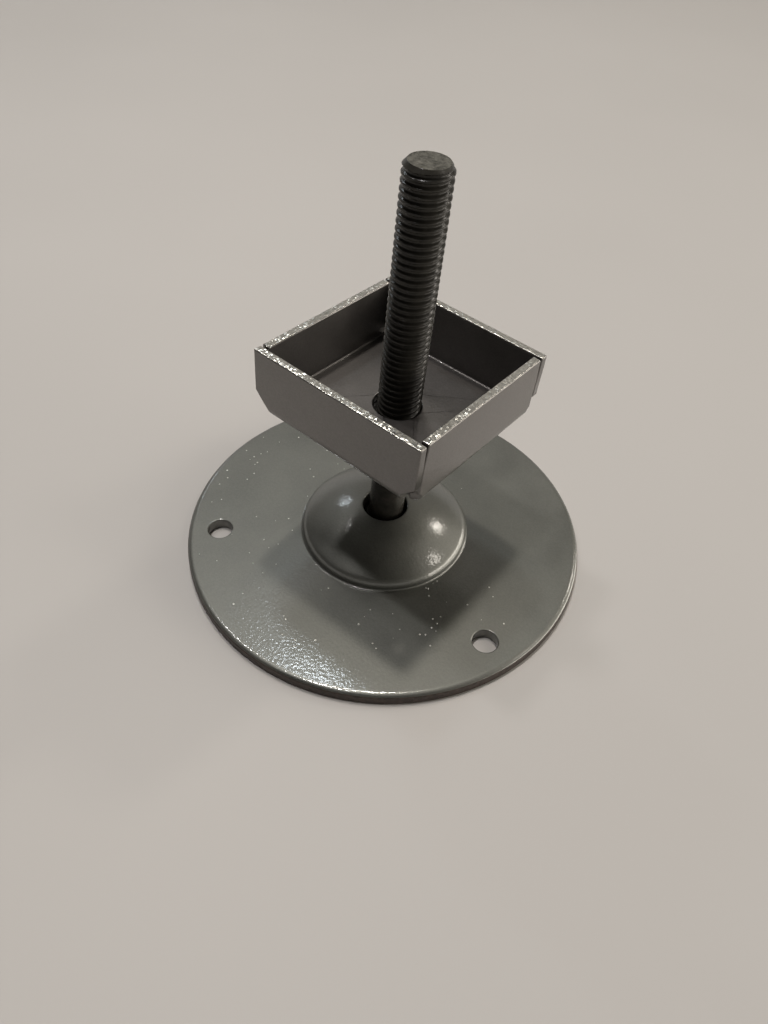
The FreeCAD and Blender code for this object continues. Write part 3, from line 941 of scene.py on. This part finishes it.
@dataclass
class AdjustingNut:
    """Hexagon nut under the cup, chamfered on both faces, with its own thread."""

    axis: StudAxis
    across_flats: float = 17.0
    height: float = 8.0
    corner_inset: float = 0.3
    corner_deg: float = 30.0
    mouth_r: float = 5.5
    minor_r: float = 4.3
    major_r: float = 5.02
    crest_half: float = 0.08
    side_steps: int = 16
    sharp_deg: float = 35.0

    def build(self) -> Object:
        """Make the chamfered hexagon round the bore and lean it on its axis, in step with the stud's thread.

        Returns:
            The nut in its place.
        """
        finish = NUT_OXIDE.material()
        middle = Vector(named(frame["joints"], "nut_turn")["pos_m"])
        above = (middle - self.axis.pivot).length/MM - self.height/2
        thread = Thread(self.major_r, self.minor_r, 0.0, self.height,
                        crest_z=(Thread.crest_z - above) % Thread.pitch, crest_half=self.crest_half,
                        root_half=0.0, segments=6*self.side_steps)
        nut = thread.build("adjusting_nut_hexagon", finish, self.bore_radius)
        with editing(nut) as bm:
            self.add_hexagon(bm, thread.segments)
            weld(bm)
        shade(nut, self.sharp_deg)
        place(nut, self.axis.matrix(middle - self.axis.direction*self.height/2*MM))
        return nut

    def bore_radius(self, radius: float, height: float) -> float:
        """Return the radius of a point of the thread, opened towards both faces."""
        return max(radius, self.mouth_r - min(height, self.height - height))

    def add_hexagon(self, bm: BMesh, segments: int) -> None:
        """Add the faces, the chamfer arcs and the flats.

        Args:
            bm: Mesh that holds the thread.
            segments: Number of steps round the axis.
        """
        face_r = self.across_flats/2 - self.corner_inset
        slope = math.tan(math.radians(self.corner_deg))
        rings = []
        for level, way in ((0.0, 1), (self.height, -1)):
            bore, face, edge = [], [], []
            for i in range(segments):
                turn = 2*math.pi*i/segments
                off_flat = (turn % (math.pi/3)) - math.pi/6
                reach = self.across_flats/2/math.cos(off_flat)
                drop = (reach - face_r)*slope
                for ring, radius, height in ((bore, self.mouth_r, level), (face, face_r, level),
                                             (edge, reach, level + way*drop)):
                    ring.append(bm.verts.new((radius*math.cos(turn)*MM, radius*math.sin(turn)*MM, height*MM)))
            rings += [bore, face, edge][::way]
        for inner, outer in zip(rings, rings[1:]):
            bridge(bm, inner, outer)


@dataclass
class TubeCup:
    """Square cup folded from one blank: two wide walls with cut corners, two narrow walls, slits."""

    axis: StudAxis
    half: float = 22.1
    height: float = 15.85
    sheet_t: float = 2.0
    bend_r: float = 2.6
    hole_r: float = 5.5
    relief: float = 0.9
    slit: float = 0.5
    ear_z: float = 5.6
    gap_low: float = 0.02
    gap_z: float = 10.0
    gap_top: float = 0.6
    edge_break: float = 0.35
    edge_steps: int = 3
    edge_deg: float = 50.0
    seam_share: float = 0.08
    seam_reach: float = 0.2
    seam_over: float = 0.1
    rim_facing: float = 0.75
    bend_steps: int = 10
    hole_steps: int = 64
    sharp_deg: float = 60.0

    def build(self) -> Object:
        """Fold the blank's outer skin, thicken it inwards, finish its edges and seat it on the nut.

        Returns:
            The cup in its place.
        """
        bm = bmesh.new()
        self.add_floor(bm)
        for side in (1, -1):
            self.add_wide_wall(bm, side)
            self.add_narrow_wall(bm, side)
        weld(bm)
        self.face_outwards(bm)
        cup = new_piece("tube_cup_folding", bm, (CUP_PAINT.material(), CUP_RIM_PAINTED_HIGHLIGHT.material()))
        sheet = cup.modifiers.new("sheet", "SOLIDIFY")
        sheet.thickness = self.sheet_t*MM
        sheet.offset = -1.0
        sheet.use_even_offset = True
        # Rim faces take the cut-edge finish, whose pale colour is a painted highlight.
        sheet.material_offset_rim = 1
        bake(cup)
        self.break_edges(cup)
        self.dress_rim(cup)
        shade(cup, self.sharp_deg)
        mouth = Vector(named(frame["record"]["mounts"], "tube_socket")["pos_m"])
        place(cup, self.axis.matrix(mouth - self.axis.direction*self.height*MM))
        return cup

    def break_edges(self, cup: Object) -> None:
        """Break the sharp edges, less at the corners' closed seams.

        Args:
            cup: The thickened cup.
        """
        seam = (self.half - self.sheet_t - self.seam_reach)*MM
        with editing(cup) as bm:
            weight = bm.edges.layers.float.new("bevel_weight_edge")
            for edge in bm.edges:
                if not edge.is_manifold or edge.calc_face_angle() < math.radians(self.edge_deg):
                    continue
                closed = all(spot.co.z < (self.gap_z + self.seam_over)*MM and abs(spot.co.x) > seam
                             and seam < abs(spot.co.y) < (self.half - self.seam_reach)*MM
                             for spot in edge.verts)
                edge[weight] = self.seam_share if closed else 1.0
        edges = cup.modifiers.new("edges", "BEVEL")
        edges.width = self.edge_break*MM
        edges.segments = self.edge_steps
        edges.use_clamp_overlap = False
        edges.limit_method = "WEIGHT"
        bake(cup)

    def dress_rim(self, cup: Object) -> None:
        """Keep the pale cut-edge finish, with its painted highlight and glints, on the rim's upper face, and
        give the rest the enamel.

        Args:
            cup: The cup with broken edges.
        """
        for face in cup.data.polygons:
            if face.center.z < (self.height - self.edge_break)*MM or face.normal.z < self.rim_facing:
                face.material_index = 0

    @property
    def flat(self) -> float:
        """Half the floor's width between the bends."""
        return self.half - self.bend_r

    def bend(self) -> list[Point]:
        """Return (outward, height) of a wall's skin from the floor's edge to the end of the bend."""
        return arc((self.flat, self.bend_r), self.bend_r, -90, 0, self.bend_steps)

    def add_floor(self, bm: BMesh) -> None:
        """Add the floor's underside with the stud's hole and a relief slit at each corner.

        Args:
            bm: Mesh that gets the floor.
        """
        flat = self.flat
        bend_end = flat - self.relief
        fold_start = bend_end + self.slit
        tongue = flat - self.slit
        corner = [(flat, flat), (fold_start, flat), (fold_start, tongue)]
        corner += [(bend_end, tongue), (bend_end, flat)]
        spots = corner + [(-x, y) for x, y in reversed(corner)]
        spots += [(-x, -y) for x, y in corner] + [(x, -y) for x, y in reversed(corner)]
        hole = arc((0, 0), self.hole_r, 0, 360, self.hole_steps)[:-1]
        edges = []
        for loop in (spots, hole):
            verts = [bm.verts.new((x*MM, y*MM, 0)) for x, y in loop]
            edges += [bm.edges.new((verts[i - 1], verts[i])) for i in range(len(verts))]
        bmesh.ops.triangle_fill(bm, edges=edges, use_beauty=True)

    def add_strip(self, bm: BMesh, rows: Sequence[Sequence[tuple[float, float, float]]]) -> None:
        """Add faces between rows of points.

        Args:
            bm: Mesh that gets the faces.
            rows: Rows of points in millimetres, all of one length.
        """
        made = [[bm.verts.new(Vector(spot)*MM) for spot in row] for row in rows]
        for lower, upper in zip(made, made[1:]):
            for i in range(len(lower) - 1):
                bm.faces.new((lower[i], lower[i + 1], upper[i + 1], upper[i]))

    def add_wide_wall(self, bm: BMesh, side: int) -> None:
        """Add a wall of the full width whose lower corners are cut off down to the bend.

        Args:
            bm: Mesh that gets the wall.
            side: 1 or -1, the side along Y.
        """
        bend_end = self.flat - self.relief
        run = (self.half - bend_end)/(self.ear_z - self.sheet_t)
        rows = self.bend() + [(self.half, z) for z in (self.ear_z, self.gap_z, self.height)]
        ends = [min(bend_end + max(z - self.sheet_t, 0)*run, self.half) for _, z in rows]
        self.add_strip(bm, [[(x, side*out, z) for x in (-end, end)] for end, (out, z) in zip(ends, rows)])

    def add_narrow_wall(self, bm: BMesh, side: int) -> None:
        """Add a wall that stands between the wide ones, wider than its bend.

        Args:
            bm: Mesh that gets the wall.
            side: 1 or -1, the side along X.
        """
        inside = self.half - self.sheet_t
        low = inside - self.gap_low
        rows = [(self.flat, out, z) for out, z in self.bend()]
        rows += [(low, self.half, self.bend_r + low - self.flat), (low, self.half, self.gap_z)]
        rows += [(inside - self.gap_top, self.half, self.height)]
        self.add_strip(bm, [[(side*out, y, z) for y in (-wide, wide)] for wide, out, z in rows])

    def face_outwards(self, bm: BMesh) -> None:
        """Turn the open skin so that its normals leave the cup.

        Args:
            bm: Mesh of the skin.
        """
        floor = min(bm.faces, key=lambda face: face.calc_center_median().z)
        if floor.normal.z > 0:
            bmesh.ops.reverse_faces(bm, faces=bm.faces)


def towards(azimuth_deg: float, elevation_deg: float) -> Vector:
    """Return the direction of something in the room, of length 1.

    Args:
        azimuth_deg: Angle round the part, from the X axis.
        elevation_deg: Angle over the horizon.

    Returns:
        The direction.
    """
    turn = math.radians(azimuth_deg)
    rise = math.radians(elevation_deg)
    return Vector((math.cos(rise)*math.cos(turn), math.cos(rise)*math.sin(turn), math.sin(rise)))


@dataclass(frozen=True)
class Lamp:
    """A soft lamp aimed at the part, square or as high as a share of its width.

    Its own share is of the light that shows a colour as it is written.
    """

    name: str
    azimuth_deg: float
    elevation_deg: float
    share: float
    size_mm: float
    tone: Tone
    distance_mm: float = 1300.0
    aspect: float = 1.0

    def build(self) -> None:
        """Hang the lamp."""
        data = bpy.data.lights.new(self.name, "AREA")
        data.shape = "RECTANGLE"
        data.size = self.size_mm*MM
        data.size_y = self.size_mm*self.aspect*MM
        data.color = linear(self.tone.value)[:3]
        away = towards(self.azimuth_deg, self.elevation_deg)
        reach = self.distance_mm*MM
        data.energy = self.share*math.pi**2*reach**2/away.z
        lamp = bpy.data.objects.new(self.name, data)
        lamp.location = away*reach
        lamp.rotation_euler = away.to_track_quat("Z", "Y").to_euler()
        bpy.context.scene.collection.objects.link(lamp)


@dataclass(frozen=True)
class Glow:
    """A bright side of the room, soft at its border."""

    azimuth_deg: float
    elevation_deg: float
    inner_deg: float
    outer_deg: float
    radiance: float
    tone: Tone

    def add(self, tree: NodeTree, way: NodeSocket) -> Node:
        """Add the glow's light to the world.

        Args:
            tree: The world's node tree.
            way: Socket of the direction looked in.

        Returns:
            The glow's background shader.
        """
        near = add_node(tree, "ShaderNodeVectorMath", {
            0: way, 1: towards(self.azimuth_deg, self.elevation_deg)}, operation="DOT_PRODUCT")
        level = add_node(tree, "ShaderNodeMapRange", {
            "Value": near, "From Min": math.cos(math.radians(self.outer_deg)),
            "From Max": math.cos(math.radians(self.inner_deg)), "To Max": self.radiance},
            interpolation_type="SMOOTHSTEP")
        return add_node(tree, "ShaderNodeBackground", {"Color": linear(self.tone.value), "Strength": level})


@dataclass
class Studio:
    """Pale table, plain backdrop, soft lamps and the camera at the photograph's angle."""

    floor_r: float = 2600.0
    floor_segments: int = 128
    azimuth_deg: float = 37.767
    elevation_deg: float = 48.722
    distance_mm: float = 204.346
    pan_deg: float = -0.060
    tilt_deg: float = -1.517
    roll_deg: float = -3.315
    focal_px: float = 778.164
    image_h_px: float = 1024.0
    sensor_mm: float = 36.0
    near_mm: float = 10.0
    backdrop: str = "#C9C5C0"
    wall_deg: float = 8.0
    wall_top_deg: float = 20.0
    horizon_radiance: float = 0.12
    horizon_top_deg: float = 24.0
    lamps: tuple[Lamp, ...] = (
        Lamp("lamp_left", 213.4, 79.7, 0.28, 60, Tone.NEUTRAL, distance_mm=900),
        Lamp("lamp_behind", 127.8, 76.8, 0.23, 80, Tone.WARM),
        Lamp("lamp_back_left", 178.9, 61.6, 0.085, 80, Tone.NEUTRAL),
        Lamp("lamp_back", 140.0, 64.0, 0.04, 80, Tone.COOL),
        Lamp("softbox_back", 134.5, 61.0, 0.016, 280, Tone.COOL),
        Lamp("lamp_low_back", 157.9, 34.6, 0.015, 90, Tone.COOL),
        Lamp("lamp_right_back", 76.5, 40.5, 0.055, 130, Tone.WARM),
        Lamp("lamp_right", 38.2, 48.3, 0.037, 150, Tone.WARM),
        Lamp("window_right", 37.8, 9.0, 0.11, 4577, Tone.WARM, distance_mm=3500, aspect=0.22),
    )
    glows: tuple[Glow, ...] = (
        Glow(138.0, 24.0, 16, 52, 0.32, Tone.WARM),
        Glow(44.0, 34.0, 16, 40, 0.6, Tone.WARM),
        Glow(217.8, 34.0, 16, 42, 0.04, Tone.WARM),
        Glow(307.8, 12.0, 10, 48, 0.1, Tone.WARM),
    )

    def build(self) -> None:
        """Set the stage."""
        self.build_floor()
        self.build_world()
        for lamp in self.lamps:
            lamp.build()
        self.build_camera()
        bpy.context.scene.view_settings.view_transform = "Standard"

    def build_floor(self) -> None:
        """Lay the table top."""
        bm = bmesh.new()
        bmesh.ops.create_circle(bm, cap_ends=True, segments=self.floor_segments, radius=self.floor_r*MM)
        new_piece("table_top", bm, (TABLE.material(),))

    def build_world(self) -> None:
        """Fill the room with soft light, low all round and higher behind and on the right.

        The camera sees a plain pale backdrop instead, and metal and glass see it as high as a wall.
        """
        world = bpy.data.worlds.new("room")
        bpy.context.scene.world = world
        world.use_nodes = True
        tree = world.node_tree
        tree.nodes.clear()
        way = add_node(tree, "ShaderNodeTexCoord").outputs["Generated"]
        rise = add_node(tree, "ShaderNodeSeparateXYZ", {"Vector": way}).outputs["Z"]
        bands = ((0.0, self.horizon_top_deg, self.horizon_radiance), (self.wall_deg, self.wall_top_deg, 1.0))
        horizon, wall = [add_node(tree, "ShaderNodeMapRange", {
            "Value": rise, "From Min": math.sin(math.radians(low)), "From Max": math.sin(math.radians(high)),
            "To Min": level, "To Max": 0.0}, interpolation_type="SMOOTHSTEP") for low, high, level in bands]
        light = add_node(tree, "ShaderNodeBackground", {"Color": linear(self.backdrop), "Strength": horizon})
        for glow in self.glows:
            light = add_node(tree, "ShaderNodeAddShader", {0: light, 1: glow.add(tree, way)})
        seen = add_node(tree, "ShaderNodeBackground", {"Color": linear(self.backdrop)})
        path = add_node(tree, "ShaderNodeLightPath").outputs
        shiny = add_node(tree, "ShaderNodeMath", {
            0: path["Is Glossy Ray"], 1: path["Is Transmission Ray"]}, operation="MAXIMUM")
        mirrored = add_node(tree, "ShaderNodeMath", {0: shiny, 1: wall}, operation="MULTIPLY")
        pale = add_node(tree, "ShaderNodeMath", {0: path["Is Camera Ray"], 1: mirrored}, operation="MAXIMUM")
        shown = add_node(tree, "ShaderNodeMixShader", {0: pale, 1: light, 2: seen})
        add_node(tree, "ShaderNodeOutputWorld", {"Surface": shown})

    def build_camera(self) -> None:
        """Stand the camera where the photograph was taken."""
        data = bpy.data.cameras.new("camera")
        data.sensor_width = self.sensor_mm
        data.lens = self.focal_px/self.image_h_px*self.sensor_mm
        data.clip_start = self.near_mm*MM
        camera = bpy.data.objects.new("camera", data)
        bpy.context.scene.collection.objects.link(camera)
        away = towards(-90.0, self.elevation_deg)
        aim = away.to_track_quat("Z", "Y").to_matrix().to_4x4()
        for angle, about in ((self.pan_deg, "Y"), (self.tilt_deg, "X"), (self.roll_deg, "Z")):
            aim = aim @ Matrix.Rotation(math.radians(-angle), 4, about)
        stand = Matrix.Translation(away*self.distance_mm*MM) @ aim
        camera.matrix_world = Matrix.Rotation(math.radians(self.azimuth_deg), 4, "Z") @ stand
        bpy.context.scene.camera = camera


def register(piece: Object, body: Body, node: str | None = None) -> None:
    """Hand a finished piece to the frame and report it.

    Args:
        piece: The piece.
        body: Body that carries it.
        node: CAD node that it stands for, if any.
    """
    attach(piece, body.value)
    if node:
        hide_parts(node)
    LOG.info("%s rides on %s, %d faces", piece.name, body.value, len(piece.data.polygons))


def main() -> None:
    """Build and dress every piece, then the stage."""
    logging.basicConfig(level=logging.INFO)
    axis = StudAxis.from_frame()
    plate = BasePlate()
    pressing = plate.build()
    register(pressing, Body.BASE, "base_plate")
    register(PaintNibs(plate).build(pressing), Body.BASE)
    register(ThreadedStud(axis).build(), Body.STUD, "threaded_stud")
    register(AdjustingNut(axis).build(), Body.NUT, "adjusting_nut")
    register(TubeCup(axis).build(), Body.CUP, "tube_cup")
    Studio().build()


if __name__ == "__main__":
    main()
